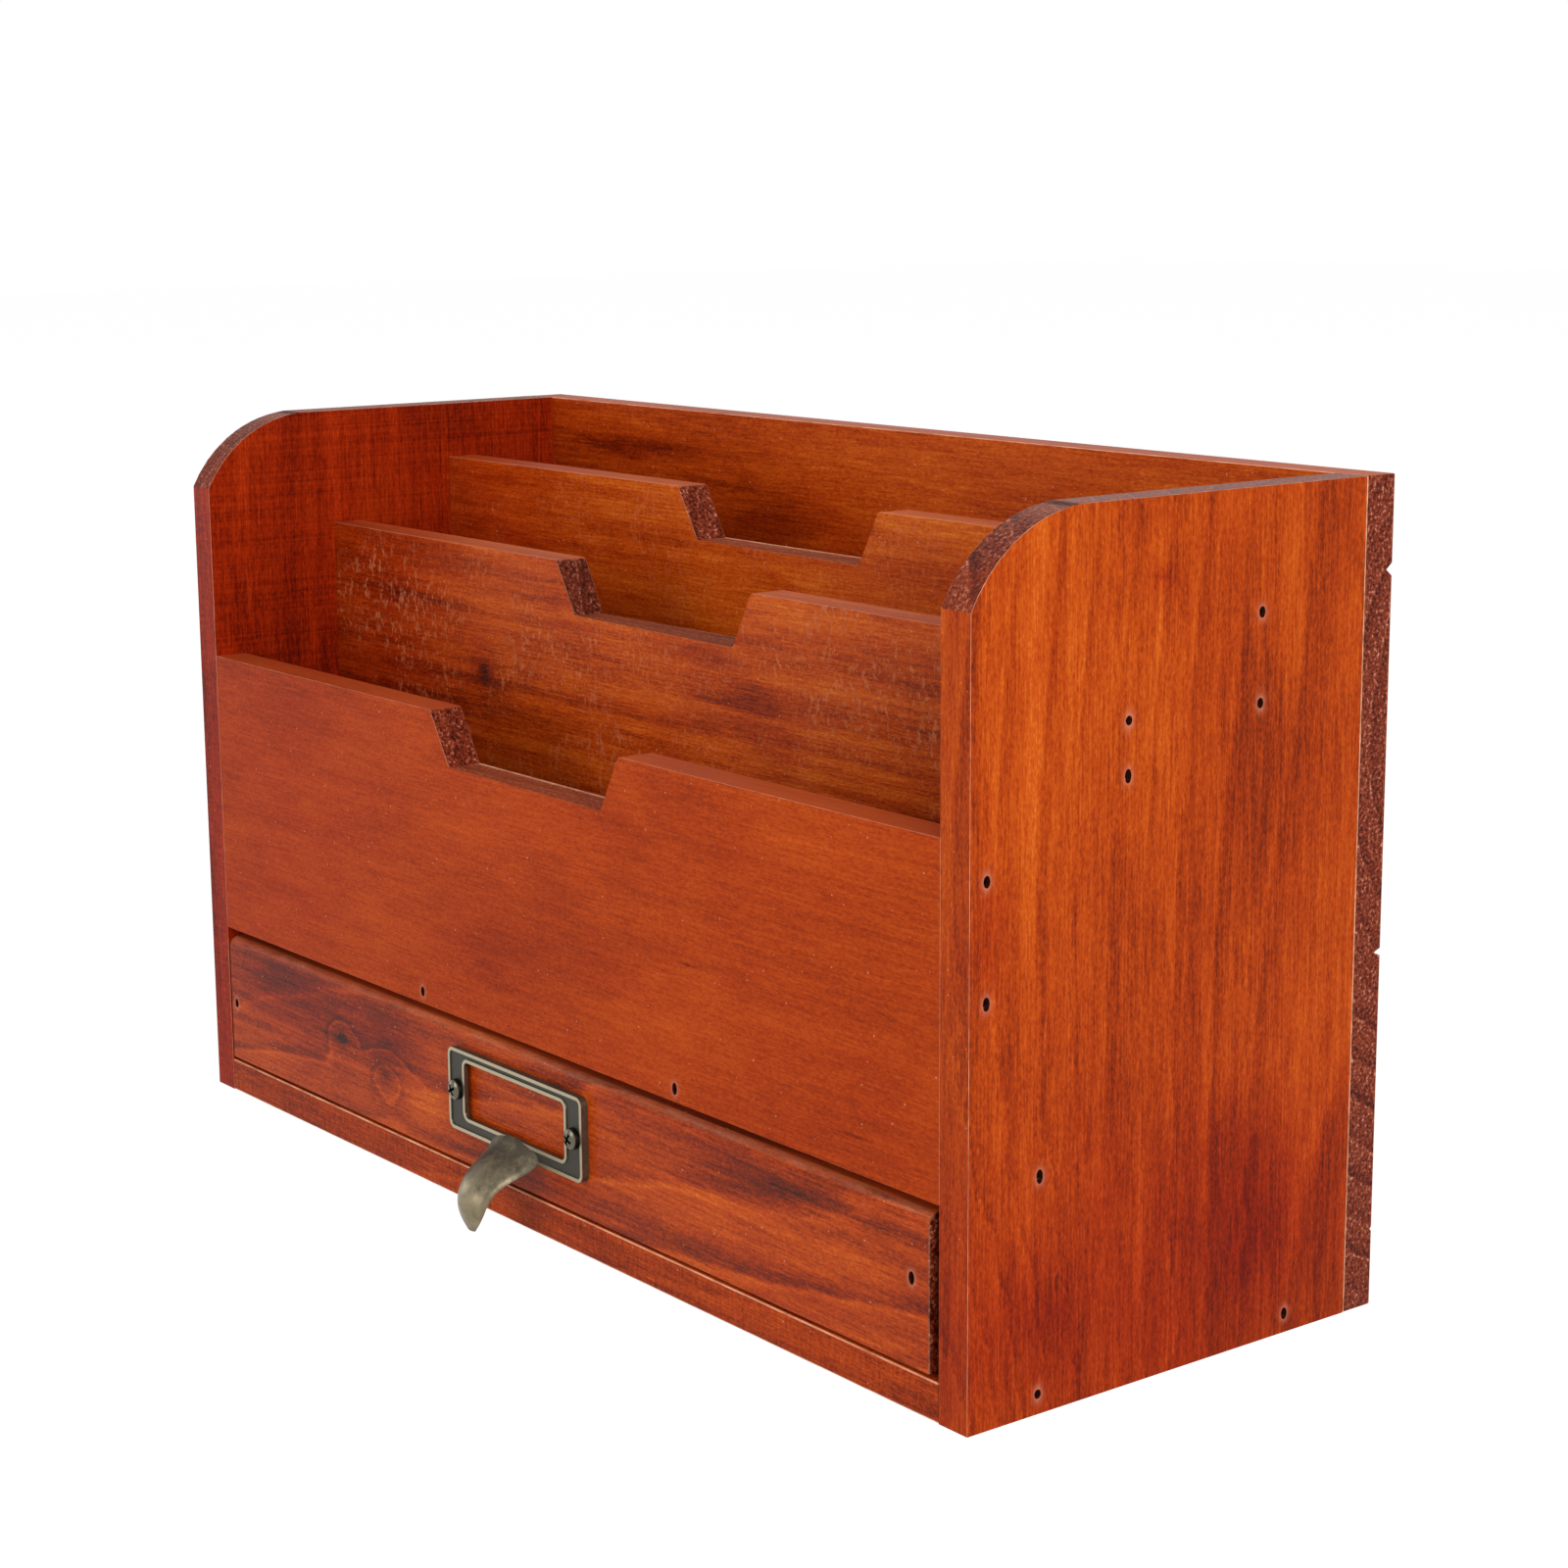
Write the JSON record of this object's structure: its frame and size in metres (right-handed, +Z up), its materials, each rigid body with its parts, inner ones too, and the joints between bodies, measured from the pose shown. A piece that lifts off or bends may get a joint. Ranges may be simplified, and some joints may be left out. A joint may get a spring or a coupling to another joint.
{
  "type": "letter sorter with drawer",
  "caption": "Desktop wooden letter sorter: stepped, notched upright pockets between two sides, over one shallow sliding drawer with a cast label-holder pull.",
  "frame": {"origin": "centre of the case's underside, halfway across and halfway from the front edges of the sides to the back panel's rear face", "axes": "+X to the right seen from the front, +Y to the back, +Z up"},
  "size_m": [0.342, 0.1462, 0.2],
  "materials": {
    "stained_wood": "red-brown stain under satin varnish",
    "drawer_wood": "thin stain, satin varnish",
    "antique_brass": "cast, darkened field with rubbed bright edges",
    "plated_screw": "darkened, rubbed bright on the head",
    "brad_steel": "plain drawn wire, dulled"
  },
  "bodies": {
    "case": {"left_side": "stained_wood", "right_side": "stained_wood", "back_panel": "stained_wood", "bottom_panel": "stained_wood", "pocket_deck": "stained_wood", "front_panel": "stained_wood", "middle_divider": "stained_wood", "rear_divider": "stained_wood", "left_side_brads": "brad_steel", "right_side_brads": "brad_steel", "front_panel_brads": "brad_steel", "back_panel_brads": "brad_steel"},
    "drawer": {"drawer_front": "stained_wood", "drawer_left_side": "drawer_wood", "drawer_right_side": "drawer_wood", "drawer_back": "drawer_wood", "drawer_bottom": "drawer_wood", "drawer_front_brads": "brad_steel", "drawer_side_brads": "brad_steel", "label_pull": "antique_brass", "pull_screws": "plated_screw"}
  },
  "joints": [
    {"name": "drawer_slide", "type": "slide", "parent": "case", "child": "drawer", "axis": [0, -1, 0], "range_m": [0, 0.1]}
  ]
}
